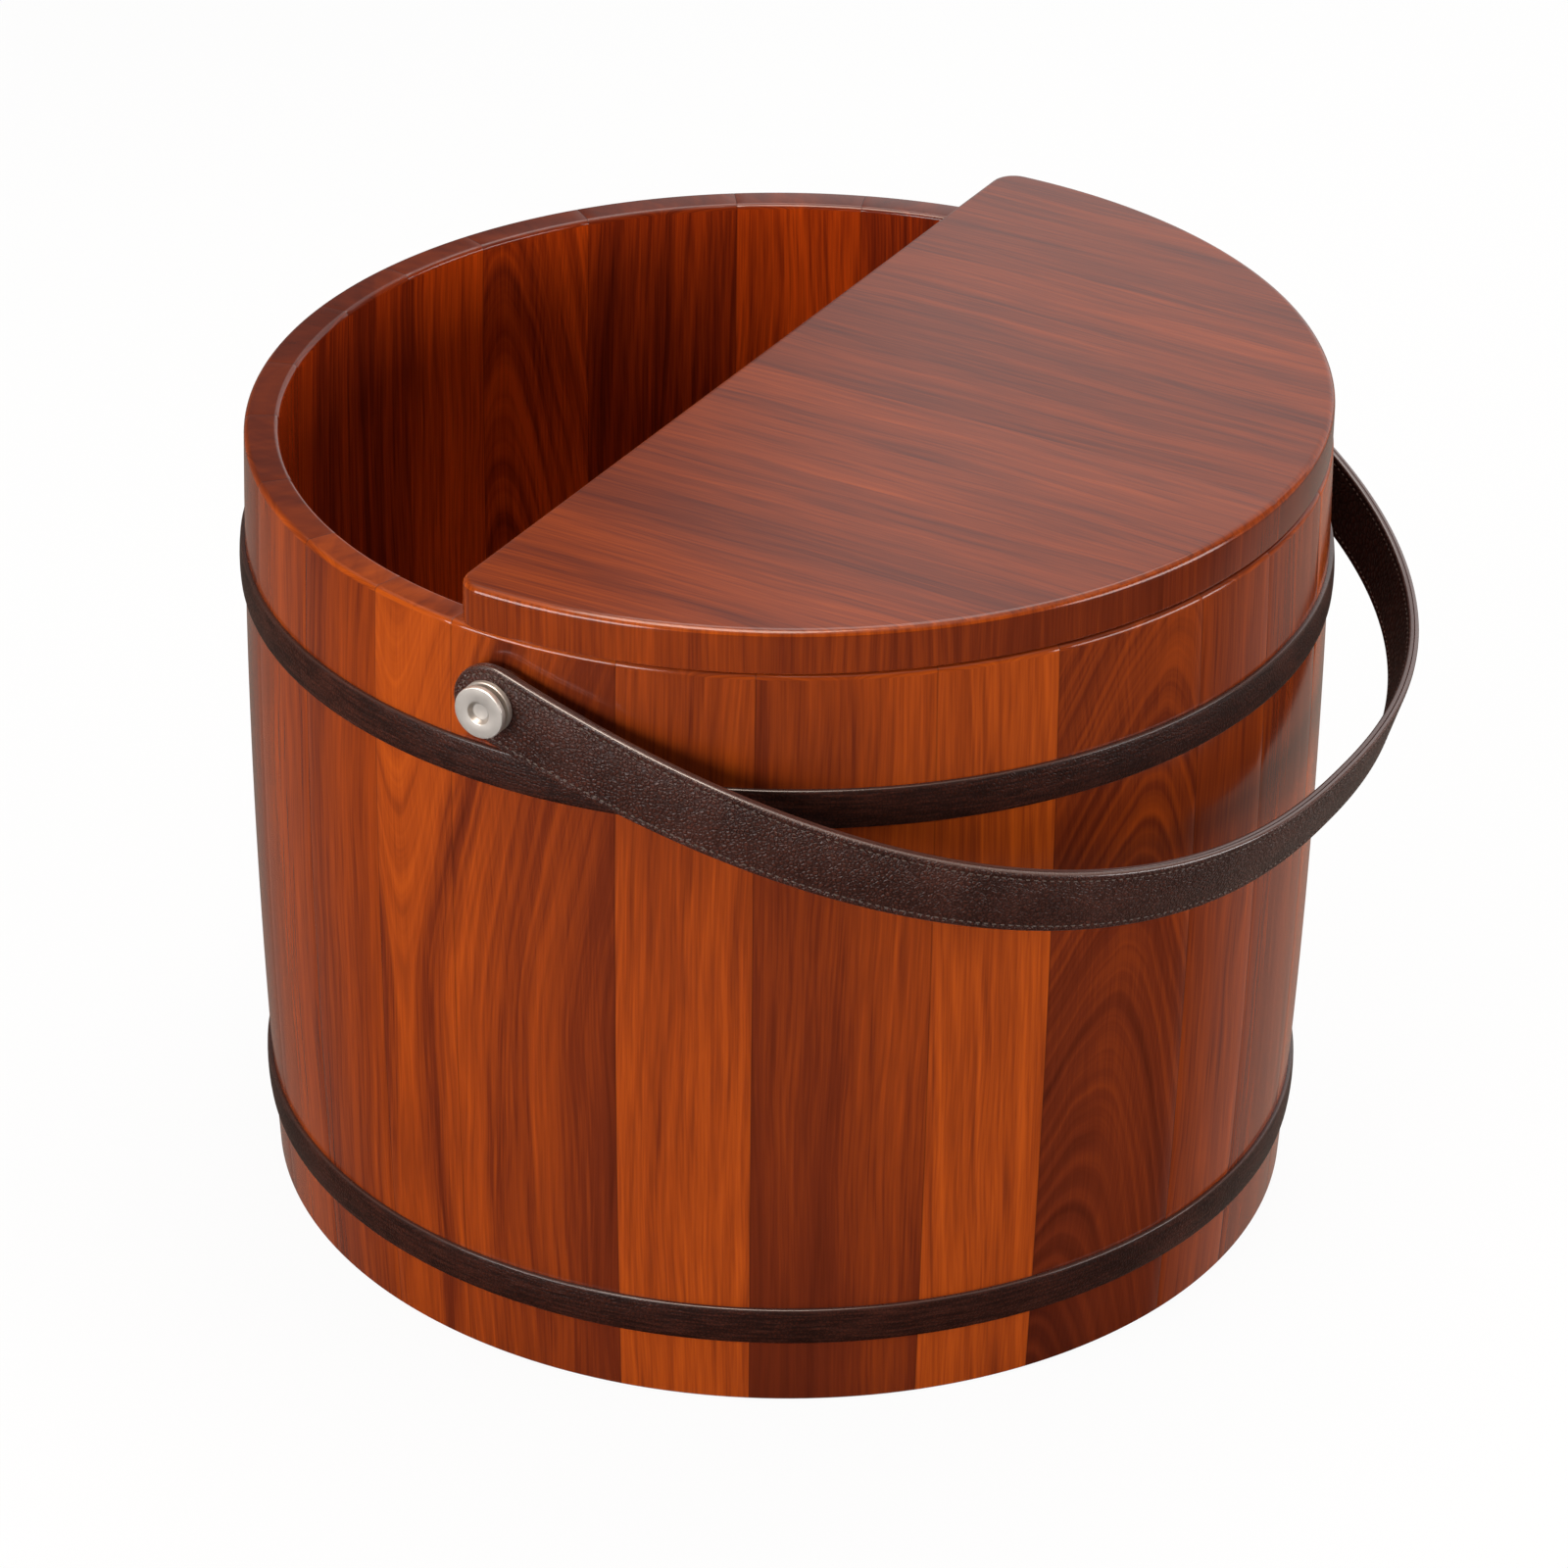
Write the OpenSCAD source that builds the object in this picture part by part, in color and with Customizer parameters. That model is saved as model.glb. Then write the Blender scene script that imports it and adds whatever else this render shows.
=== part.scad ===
// Foot soak tub: a coopered wooden tub with a half lid and a leather carrying strap.
// Millimetres, +Z up. The origin is on the tub's axis, at the floor.
// X runs along the strap's pivots. The lid and the strap lie towards -Y.

/* [Tub] */
// Height of the wall, without the lid
tub_h = 304; // [280:1:340]
// Outer radius of the wall at the rim
rim_r = 200; // [190:1:220]
// Outer radius of the wall at the floor
foot_r = 194.8; // [185:0.1:210]
// How far the wall swells past a straight line from floor to rim
bulge = 3.3; // [0:0.1:6]
// Thickness of the wall
wall = 13; // [11:0.5:16]
// Radius of the rim's rounded edges
rim_round = 2.2; // [1:0.1:4]
// Chamfer on the edges that stand on the floor
foot_chamfer = 1; // [0.5:0.1:2]

/* [Staves] */
// Angle that each stave takes of the circle, in turn from the first joint
stave_widths = [
    18.5, 14, 18, 13, 18.5, 12, 15, 13.5, 17, 18, 18.5, 18,
    13, 15, 18.5, 14.5, 12, 12, 15, 13, 16, 14, 12.5, 10.5
]; // [10:0.5:20]
// Angle where the first stave begins
first_joint = 174; // [172:0.5:176]
// Diameter of the dowels between staves
dowel_d = 5; // [4:0.5:6]
// Length of the dowels between staves
dowel_len = 24; // [16:1:28]
// Height of the lower row of dowels
low_dowel_z = 92; // [70:1:120]
// Distance of the upper row of dowels below the rim
top_dowel_drop = 108; // [90:1:130]

/* [Bottom] */
// Height of the bottom boards' underside above the floor
bottom_z = 16; // [10:1:24]
// Thickness of the bottom boards
bottom_t = 16; // [14:1:20]
// Thickness of the tongue round the bottom's edge
tongue_t = 8; // [6:0.5:9]
// How far the tongue reaches into the wall
tongue_depth = 5; // [3:0.5:6]
// Number of boards in the bottom
bottom_boards = 5; // [3:1:7]
// Distance of the bottom's dowels from the middle line
bottom_dowel_x = 80; // [50:1:100]

/* [Hoops] */
// Height of the lower hoop's lower edge
low_hoop_z = 27; // [20:0.5:50]
// Distance of the upper hoop's upper edge below the rim
top_hoop_drop = 44; // [43:0.5:60]
// Height of a hoop with its facing
hoop_h = 15; // [10:0.5:18]
// Thickness of the steel band
band_t = 0.8; // [0.6:0.1:1.2]
// Thickness of the leather facing
facing_t = 1.2; // [0.8:0.1:1.4]

/* [Lid] */
// Thickness of the lid
lid_t = 17; // [14:0.5:22]
// Radius of the lid's arc
lid_r = 202; // [196:0.5:202.5]
// Distance of the arc's centre behind the tub's axis
lid_centre_y = 2.5; // [0:0.5:9]
// Distance of the straight edge behind the tub's axis
lid_edge_y = 18.5; // [14:0.5:24]
// Radius of the lid's two corners, seen from above
lid_corner_r = 10; // [6:0.5:14]
// Radius of the lid's rounded upper edge
lid_round = 3; // [1:0.25:4]
// Radius of the lid's rounded lower edge
lid_under_round = 1.5; // [0.5:0.25:3]
// Number of boards in the lid
lid_boards = 6; // [4:1:6]
// Height of the battens under the lid
batten_h = 16; // [12:1:22]
// Width of the battens under the lid
batten_w = 24; // [18:1:32]
// Distance of each batten's middle line before the tub's axis
batten_y = [26, 112]; // [20:1:125]
// Gap between the battens' ends and the wall
batten_gap = 3; // [2:0.5:6]
// Diameter of the batten screws' shanks
screw_d = 4; // [3:0.5:5]
// Diameter of the batten screws' heads
screw_head_d = 8; // [6:0.5:9]
// Length of the batten screws
screw_len = 24; // [22:1:26]

/* [Strap] */
// Distance of the strap's pivots below the rim
pivot_drop = 23.5; // [20:0.5:25]
// Reach of the strap from its pivots to the middle of its bend
strap_reach = 237.5; // [232:0.5:250]
// How square the strap's bend is, from 2 for an ellipse
strap_square = 2.35; // [2.1:0.05:2.6]
// Angle that the strap hangs below level
strap_droop = 17.5; // [10:0.5:20]
// Width of the strap at its pivots
strap_end_w = 29.5; // [28:0.5:35]
// Width of the strap at the middle of its bend
strap_mid_w = 25.5; // [22:0.5:28]
// Thickness of each of the strap's two layers
layer_t = 2; // [1.5:0.05:2.5]

/* [Pivots] */
// Diameter of the spacer, the bush's flange and the stud's head
pivot_d = 19.5; // [18:0.5:22]
// Depth of the flat seat cut into the wall for the spacer
seat_depth = 0.6; // [0.5:0.05:1]
// Thickness of the spacer
spacer_t = 4; // [3.5:0.1:5]
// Outer diameter of the bush's sleeve
sleeve_d = 11; // [10:0.5:12]
// Thickness of the bush's flange
flange_t = 2.3; // [2:0.1:4]
// Width of the groove between the flange and the stud's head
groove_w = 2; // [0.8:0.1:3]
// Diameter of the stud's neck in that groove
neck_d = 15; // [14:0.5:16]
// Thickness of the stud's head
head_t = 2.4; // [2.2:0.1:5]
// Diameter of the dimple in the stud's head
dimple_d = 8.5; // [6:0.5:9.5]
// Depth of the dimple in the stud's head
dimple_depth = 1.6; // [1:0.1:2]
// Diameter of the stud's shank
shank_d = 6; // [5:0.5:7]
// Outer diameter of the insert in the wall
insert_d = 10; // [9:0.5:11]
// Length of the insert in the wall
insert_len = 9; // [7:0.5:9]

/* [Fits] */
// Gap round glued and driven pieces
glue_gap = 0.05; // [0.02:0.01:0.1]
// Gap between the strap's hole and the bush
running_gap = 0.1; // [0.05:0.01:0.1]
// Gap on each side of the strap between the spacer and the flange
side_gap = 0.15; // [0.1:0.05:0.3]
// Gap under the lid where it rests on the rim
lid_gap = 0.3; // [0.2:0.05:0.5]

/* [Hidden] */
// Steps along a curved profile, and round an edge
wall_steps = 12;
round_steps = 6;
strap_steps = 64;
smooth = 180;
stave_count = len(stave_widths);
circle_deg = 360;
// Margin by which a cutting solid passes the face that it cuts
past = 1;

wood = "sienna";
dark_wood = "saddlebrown";
pale_wood = "burlywood";
leather = "#3a241e";
steel = "lightslategray";
nickel = "silver";

// Outer and inner radius of the wall at height z
function swell(t) = 4 * t * (1 - t);
function outer_r(z) = foot_r + (rim_r - foot_r) * z / tub_h + bulge * swell(z / tub_h);
function inner_r(z) = outer_r(z) - wall;

// Angle at which stave i begins, scaled so that the staves close the circle
function sum_before(list, i) = i == 0 ? 0 : list[i - 1] + sum_before(list, i - 1);
widths_sum = sum_before(stave_widths, stave_count);
function stave_start(i) = first_joint + circle_deg * sum_before(stave_widths, i) / widths_sum;
function stave_angle(i) = circle_deg * stave_widths[i] / widths_sum;
function two_digits(n) = n < 10 ? str("0", n) : str(n);
function stave_name(i) = str("stave_", two_digits(i + 1));

// Points of a quarter arc about (x, z) from angle a to angle b
function arc_points(x, z, r, a, b) =
    [for (i = [0:round_steps]) let (t = a + (b - a) * i / round_steps) [x + r * cos(t), z + r * sin(t)]];

// Heights of the dowels, the tongue, the hoops, the lid and the pivots
dowel_rows = [low_dowel_z, tub_h - top_dowel_drop];
tongue_z = bottom_z + (bottom_t - tongue_t) / 2;
tongue_r = inner_r(tongue_z + tongue_t / 2) + tongue_depth;
top_hoop_z = tub_h - top_hoop_drop - hoop_h;
lid_z = tub_h + lid_gap;
lid_top = lid_z + lid_t;
pivot_z = tub_h - pivot_drop;
// The strap's stack at a pivot, from the wall outwards along X
seat_x = outer_r(pivot_z) - seat_depth;
strap_in_x = seat_x + spacer_t + side_gap;
strap_mid_x = strap_in_x + layer_t;
strap_out_x = strap_mid_x + layer_t;
flange_x = strap_out_x + side_gap;
neck_x = flange_x + flange_t;
head_x = neck_x + groove_w;
bottom_board_w = 2 * (tongue_r + past) / bottom_boards;
lid_board_w = 2 * lid_r / lid_boards;
batten_r = inner_r(tub_h) - batten_gap;

bottom_names = [for (i = [1:bottom_boards]) str("bottom_board_", i)];
lid_names = [for (i = [1:lid_boards]) str("lid_board_", i)];
side_names = ["left", "right"];
pivot_pieces = ["spacer", "insert", "bush", "stud"];

// Half section of the wall, with its rounded rim, chamfered foot and the groove for the bottom
module wall_profile() {
    rim_z = tub_h - rim_round;
    foot = [
        [inner_r(0), foot_chamfer],
        [inner_r(0) + foot_chamfer, 0],
        [outer_r(0) - foot_chamfer, 0]
    ];
    outside = [for (i = [0:wall_steps])
        let (z = foot_chamfer + (rim_z - foot_chamfer) * i / wall_steps) [outer_r(z), z]];
    inside = [for (i = [wall_steps:-1:1])
        let (z = foot_chamfer + (rim_z - foot_chamfer) * i / wall_steps) [inner_r(z), z]];
    rim = concat(
        arc_points(outer_r(rim_z) - rim_round, rim_z, rim_round, 0, 90),
        arc_points(inner_r(rim_z) + rim_round, rim_z, rim_round, 90, 180)
    );
    difference() {
        polygon(concat(foot, outside, rim, inside));
        translate([0, tongue_z - glue_gap])
            square([tongue_r + glue_gap, tongue_t + 2 * glue_gap]);
    }
}

// A dowel lying across the stave joint at the given angle and height
module joint_dowel(angle, z, gap) {
    rotate(angle) translate([(outer_r(z) + inner_r(z)) / 2, 0, z]) rotate([90, 0, 0])
        cylinder(d = dowel_d + 2 * gap, h = dowel_len + 2 * gap, center = true, $fn = 32);
}

// A solid turned about the pivot axis, from x outwards, on the left (-1) or the right (1)
module on_pivot(side, x) {
    translate([side * x, 0, pivot_z]) rotate([0, side * 90, 0]) children();
}

// What the pivot takes out of the wall: a flat seat and a blind hole for the insert
module pivot_cuts(side) {
    on_pivot(side, seat_x) cylinder(d = pivot_d + 2 * past, h = 2 * seat_depth + past, $fn = 64);
    on_pivot(side, seat_x - insert_len - past)
        cylinder(d = insert_d + 2 * glue_gap, h = insert_len + 2 * past, $fn = 64);
}

// One stave: a wedge of the turned wall, drilled on both sides for its dowels
module stave(i) {
    color(i % 2 == 0 ? wood : dark_wood) difference() {
        rotate(stave_start(i)) rotate_extrude(angle = stave_angle(i), $fn = smooth) wall_profile();
        for (z = dowel_rows) for (joint = [i, i + 1]) joint_dowel(stave_start(joint), z, glue_gap);
        for (side = [-1, 1]) pivot_cuts(side);
    }
}

module stave_dowels() {
    color(pale_wood) for (i = [0:stave_count - 1]) for (z = dowel_rows)
        joint_dowel(stave_start(i), z, 0);
}

// Half section of the bottom: a disc whose edge follows the wall, with a tongue round it
module bottom_profile() {
    top_z = bottom_z + bottom_t;
    tongue_top = tongue_z + tongue_t;
    polygon([
        [0, bottom_z],
        [inner_r(bottom_z) - glue_gap, bottom_z],
        [inner_r(tongue_z) - glue_gap, tongue_z],
        [tongue_r, tongue_z],
        [tongue_r, tongue_top],
        [inner_r(tongue_top) - glue_gap, tongue_top],
        [inner_r(top_z) - glue_gap, top_z],
        [0, top_z]
    ]);
}

function bottom_joint_y(i) = (i - bottom_boards / 2) * bottom_board_w;

module bottom_dowel(x, y, gap) {
    translate([x, y, bottom_z + bottom_t / 2]) rotate([90, 0, 0])
        cylinder(d = dowel_d + 2 * gap, h = dowel_len + 2 * gap, center = true, $fn = 32);
}

// One board of the bottom: a strip of the disc along X
module bottom_board(i) {
    reach = tongue_r + past;
    color(i % 2 == 0 ? dark_wood : wood) difference() {
        intersection() {
            rotate_extrude($fn = smooth) bottom_profile();
            translate([-reach, bottom_joint_y(i), bottom_z - past])
                cube([2 * reach, bottom_board_w, bottom_t + 2 * past]);
        }
        for (joint = [i, i + 1]) if (joint > 0 && joint < bottom_boards)
            for (x = [-bottom_dowel_x, bottom_dowel_x]) bottom_dowel(x, bottom_joint_y(joint), glue_gap);
    }
}

module bottom_dowels() {
    color(pale_wood) for (joint = [1:bottom_boards - 1])
        for (x = [-bottom_dowel_x, bottom_dowel_x]) bottom_dowel(x, bottom_joint_y(joint), 0);
}

// Half section of a strip wrapped round the wall, from gap a to gap b off its surface
module hoop_section(z0, z1, a, b) {
    polygon([
        [outer_r(z0) + a, z0],
        [outer_r(z0) + b, z0],
        [outer_r(z1) + b, z1],
        [outer_r(z1) + a, z1]
    ]);
}

// The steel band lies against the wall, one facing's thickness inside the hoop's edges
module hoop_band(z) {
    color(steel) rotate_extrude($fn = smooth)
        hoop_section(z + facing_t, z + hoop_h - facing_t, glue_gap, glue_gap + band_t);
}

// The leather facing covers the band and turns in over its two edges to the wall
module hoop_facing(z) {
    bevel = facing_t / 2;
    face = 2 * glue_gap + band_t + facing_t;
    color(leather) rotate_extrude($fn = smooth) difference() {
        polygon([
            [outer_r(z) + glue_gap, z],
            [outer_r(z) + face - bevel, z],
            [outer_r(z + bevel) + face, z + bevel],
            [outer_r(z + hoop_h - bevel) + face, z + hoop_h - bevel],
            [outer_r(z + hoop_h) + face - bevel, z + hoop_h],
            [outer_r(z + hoop_h) + glue_gap, z + hoop_h]
        ]);
        hoop_section(
            z + facing_t - glue_gap, z + hoop_h - facing_t + glue_gap,
            -past, 2 * glue_gap + band_t
        );
    }
}

// Half section of a round plate with the lid's rounded edges
module lid_section(r) {
    polygon(concat(
        [[0, lid_z]],
        arc_points(r - lid_under_round, lid_z + lid_under_round, lid_under_round, -90, 0),
        arc_points(r - lid_round, lid_top - lid_round, lid_round, 0, 90),
        [[0, lid_top]]
    ));
}

// The straight edge's rounded section, drawn in the YZ plane and run along X
module lid_edge_block() {
    depth = lid_r + lid_edge_y + past;
    rotate([90, 0, 90]) linear_extrude(2 * (lid_r + past), center = true) polygon(concat(
        [[-depth, lid_z]],
        arc_points(lid_edge_y - lid_under_round, lid_z + lid_under_round, lid_under_round, -90, 0),
        arc_points(lid_edge_y - lid_round, lid_top - lid_round, lid_round, 0, 90),
        [[-depth, lid_top]]
    ));
}

// Seen from above: the half disc with its two rounded corners
corner_y = lid_edge_y - lid_corner_r;
corner_x = sqrt(pow(lid_r - lid_corner_r, 2) - pow(corner_y - lid_centre_y, 2));
corner_tip = atan2(corner_y - lid_centre_y, corner_x);
module lid_plan() {
    tip = [lid_r * cos(corner_tip), lid_centre_y + lid_r * sin(corner_tip)];
    for (side = [-1, 1]) translate([side * corner_x, corner_y]) circle(lid_corner_r, $fn = 64);
    difference() {
        translate([0, lid_centre_y]) circle(lid_r + past, $fn = smooth);
        translate([-2 * lid_r, lid_edge_y]) square([4 * lid_r, 2 * lid_r]);
        for (side = [-1, 1]) scale([side, 1]) polygon([
            [corner_x, corner_y],
            tip,
            [2 * lid_r, tip[1]],
            [2 * lid_r, 2 * lid_r],
            [corner_x, 2 * lid_r]
        ]);
    }
}

function lid_joint_x(i) = -lid_r + i * lid_board_w;
function screw_x(i) = lid_joint_x(i) + lid_board_w / 2;

// One board of the lid: a strip of the half disc along Y
module lid_board(i) {
    color(i % 2 == 0 ? wood : dark_wood) difference() {
        intersection() {
            translate([0, lid_centre_y, 0]) rotate_extrude($fn = smooth) lid_section(lid_r);
            lid_edge_block();
            translate([0, 0, lid_z - past]) linear_extrude(lid_t + 2 * past) lid_plan();
            translate([lid_joint_x(i), -2 * lid_r, lid_z - past])
                cube([lid_board_w, 4 * lid_r, lid_t + 2 * past]);
        }
        for (y = batten_y) if (screw_fits(screw_x(i), y)) batten_screw(screw_x(i), y, glue_gap);
    }
}

// A screw is driven only where the batten is long enough to hold its head
function screw_fits(x, y) = norm([abs(x) + screw_head_d, y + batten_w / 2]) < batten_r;

// A countersunk screw driven up through a batten into the lid
module batten_screw(x, y, gap) {
    under = lid_z - batten_h;
    head_r = screw_head_d / 2 + gap;
    shank_r = screw_d / 2 + gap;
    translate([x, -y, under - gap]) rotate_extrude($fn = 32) polygon([
        [0, 0],
        [head_r, 0],
        [shank_r, head_r - shank_r],
        [shank_r, screw_len + 2 * gap],
        [0, screw_len + 2 * gap]
    ]);
}

// A batten across the boards, its ends turned to stand just inside the wall
module lid_batten(y) {
    color(dark_wood) difference() {
        intersection() {
            translate([0, 0, lid_z - batten_h]) cylinder(r = batten_r, h = batten_h, $fn = smooth);
            translate([-batten_r, -y - batten_w / 2, lid_z - batten_h])
                cube([2 * batten_r, batten_w, batten_h]);
        }
        for (i = [0:lid_boards - 1]) if (screw_fits(screw_x(i), y)) batten_screw(screw_x(i), y, glue_gap);
    }
}

module lid_screws() {
    color(steel) for (y = batten_y) for (i = [0:lid_boards - 1])
        if (screw_fits(screw_x(i), y)) batten_screw(screw_x(i), y, 0);
}

// The strap's middle line in its own plane: a squared ellipse from pivot to pivot
function signed_pow(v, p) = sign(v) * pow(abs(v), p);
function strap_point(a) = [
    strap_mid_x * signed_pow(cos(a), 2 / strap_square),
    strap_reach * pow(sin(a), 2 / strap_square)
];
function strap_normal(a) = let (
    across = [
        signed_pow(cos(a), 2 - 2 / strap_square) / strap_mid_x,
        pow(sin(a), 2 - 2 / strap_square) / strap_reach
    ]
) across / norm(across);

// The line one offset outside the middle line, with its straight ends past the pivots
function strap_line(offset) = concat(
    [[strap_mid_x + offset, -strap_end_w]],
    [for (i = [0:strap_steps]) let (a = 180 * i / strap_steps) strap_point(a) + offset * strap_normal(a)],
    [[-strap_mid_x - offset, -strap_end_w]]
);
function reversed(list) = [for (i = [len(list) - 1:-1:0]) list[i]];

// The strap seen along the pivot axis: round ends, narrowing to the middle of the bend
module strap_side() {
    end_r = strap_end_w / 2;
    far = strap_reach + 2 * layer_t + past;
    circle(end_r, $fn = 96);
    polygon([[0, -end_r], [far, -strap_mid_w / 2], [far, strap_mid_w / 2], [0, end_r]]);
}

// One layer of the strap between two offsets from its middle line, drooping forwards
module strap_layer(inside, outside) {
    color(leather) translate([0, 0, pivot_z]) rotate([strap_droop, 0, 0]) difference() {
        intersection() {
            scale([1, -1, 1]) linear_extrude(2 * strap_end_w, center = true)
                polygon(concat(strap_line(inside), reversed(strap_line(outside))));
            rotate([90, 0, -90]) linear_extrude(2 * strap_out_x + 2 * past, center = true) strap_side();
        }
        rotate([0, 90, 0])
            cylinder(d = sleeve_d + 2 * running_gap, h = 2 * strap_out_x + 2 * past, center = true, $fn = 64);
    }
}

module strap_outer() {
    strap_layer(0, layer_t);
}

module strap_lining() {
    strap_layer(-layer_t, 0);
}

// A turned ring between two radii, from x outwards along the pivot axis
module pivot_ring(side, x, outer_d, inner_d, length) {
    on_pivot(side, x) difference() {
        cylinder(d = outer_d, h = length, $fn = 64);
        translate([0, 0, -past]) cylinder(d = inner_d, h = length + 2 * past, $fn = 64);
    }
}

module spacer(side) {
    color(nickel) pivot_ring(side, seat_x, pivot_d, shank_d + 2 * glue_gap, spacer_t);
}

module insert(side) {
    color("goldenrod")
        pivot_ring(side, seat_x - insert_len, insert_d, shank_d + 2 * glue_gap, insert_len);
}

// The bush: a sleeve through the strap that stands on the spacer, with a flange over the strap
module bush(side) {
    sleeve_len = flange_x - seat_x - spacer_t;
    bore_d = shank_d + 2 * glue_gap;
    color(nickel) on_pivot(side, seat_x + spacer_t) rotate_extrude($fn = 64) polygon([
        [bore_d / 2, 0],
        [sleeve_d / 2, 0],
        [sleeve_d / 2, sleeve_len],
        [pivot_d / 2, sleeve_len],
        [pivot_d / 2, sleeve_len + flange_t],
        [bore_d / 2, sleeve_len + flange_t]
    ]);
}

// The stud: a shank screwed into the insert, a neck, and a rounded head with a dimple
module stud(side) {
    shank_x = seat_x - insert_len;
    neck_at = neck_x - shank_x;
    head_at = head_x - shank_x;
    top = head_at + head_t;
    edge = head_t / 4;
    color(nickel) on_pivot(side, shank_x) rotate_extrude($fn = 64) polygon(concat(
        [[0, 0], [shank_d / 2, 0], [shank_d / 2, neck_at], [neck_d / 2, neck_at], [neck_d / 2, head_at]],
        arc_points(pivot_d / 2 - edge, head_at + edge, edge, -90, 0),
        arc_points(pivot_d / 2 - edge, top - edge, edge, 0, 90),
        [[dimple_d / 2, top], [dimple_d / 4, top - dimple_depth], [0, top - dimple_depth]]
    ));
}

for (i = [0:stave_count - 1]) stave(i);
for (i = [0:bottom_boards - 1]) bottom_board(i);
stave_dowels();
bottom_dowels();
hoop_band(low_hoop_z);  // lower_hoop_band
hoop_facing(low_hoop_z);  // lower_hoop_facing
hoop_band(top_hoop_z);  // upper_hoop_band
hoop_facing(top_hoop_z);  // upper_hoop_facing
for (i = [0:lid_boards - 1]) lid_board(i);
lid_batten(batten_y[1]);  // lid_batten_front
lid_batten(batten_y[0]);  // lid_batten_rear
lid_screws();
strap_outer();
strap_lining();
spacer(-1);  // left_spacer
spacer(1);  // right_spacer
insert(-1);  // left_insert
insert(1);  // right_insert
bush(-1);  // left_bush
bush(1);  // right_bush
stud(-1);  // left_stud
stud(1);  // right_stud
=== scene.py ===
# %% [markdown]
# # A coopered foot soak tub
#
# The tub is a short barrel of wedge-shaped staves, held by two leather-faced hoops, with a half
# lid and a stitched leather strap that swings on two metal studs. The solids come from CAD and
# carry the sizes and the joints. This lesson dresses them: it builds finer meshes for what the
# eye sees, and mixes each finish from shader nodes. Loading the frame first means that every
# later piece is made in the same place and at the same scale as the solid that it stands for.

# %% Load the frame
import math
import random

import bmesh
import bpy
from mathutils import Matrix, Vector


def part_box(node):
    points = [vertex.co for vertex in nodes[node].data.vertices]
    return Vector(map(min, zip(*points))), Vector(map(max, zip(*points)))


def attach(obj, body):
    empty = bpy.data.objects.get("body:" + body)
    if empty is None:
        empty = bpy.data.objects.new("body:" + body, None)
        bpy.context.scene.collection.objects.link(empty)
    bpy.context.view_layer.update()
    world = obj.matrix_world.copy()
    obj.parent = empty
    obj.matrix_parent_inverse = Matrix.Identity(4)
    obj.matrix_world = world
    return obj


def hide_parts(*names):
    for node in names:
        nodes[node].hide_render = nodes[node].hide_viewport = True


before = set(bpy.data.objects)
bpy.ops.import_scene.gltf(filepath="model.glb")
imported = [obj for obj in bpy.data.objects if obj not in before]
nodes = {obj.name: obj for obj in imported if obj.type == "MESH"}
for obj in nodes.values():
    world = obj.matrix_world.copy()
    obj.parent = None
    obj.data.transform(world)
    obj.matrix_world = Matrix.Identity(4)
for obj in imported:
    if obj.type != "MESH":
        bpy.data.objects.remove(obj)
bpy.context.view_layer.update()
scene = bpy.context.scene
scene.view_settings.view_transform = "Standard"
mm = 0.001

# %% [markdown]
# ## The camera
#
# The picture was taken from the front left, looking down by about thirty degrees through a long
# lens. A camera can be aimed with a Track To constraint, but the picture also leans by less than
# a degree, so the three axes of the camera are written out and put straight into its matrix.

# %% Place the camera
look_at = Vector((0, 0, 147.9 * mm))
camera_distance = 2400 * mm
azimuth, elevation, roll = (math.radians(a) for a in (-60.6, 29.6, -0.77))
sensor, lens = 36, 144.97

back = Vector((
    math.sin(azimuth) * math.cos(elevation),
    -math.cos(azimuth) * math.cos(elevation),
    math.sin(elevation),
))
level = Vector((math.cos(azimuth), math.sin(azimuth), 0))
upright = back.cross(level)
camera_right = level * math.cos(roll) - upright * math.sin(roll)
camera_up = level * math.sin(roll) + upright * math.cos(roll)


def added(name, data):
    """A new object in the scene."""
    made = bpy.data.objects.new(name, data)
    scene.collection.objects.link(made)
    return made


camera = added("camera", bpy.data.cameras.new("camera"))
camera.data.sensor_width = sensor
camera.data.lens = lens
turned = Matrix((camera_right, camera_up, back)).transposed().to_4x4()
camera.matrix_world = Matrix.Translation(look_at + back * camera_distance) @ turned
scene.camera = camera
print("camera at", [round(c, 3) for c in camera.matrix_world.translation])

# %% [markdown]
# ## Shader nodes as expressions
#
# A finish is a small formula: some noise stretched along the grain, a little more of it across, a
# colour that follows the sum. Wired by hand, such a formula is a page of nodes that nobody can
# read. This class wraps one socket, so that plus, minus and times add the Math nodes, and one
# method adds every other kind of node.

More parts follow.
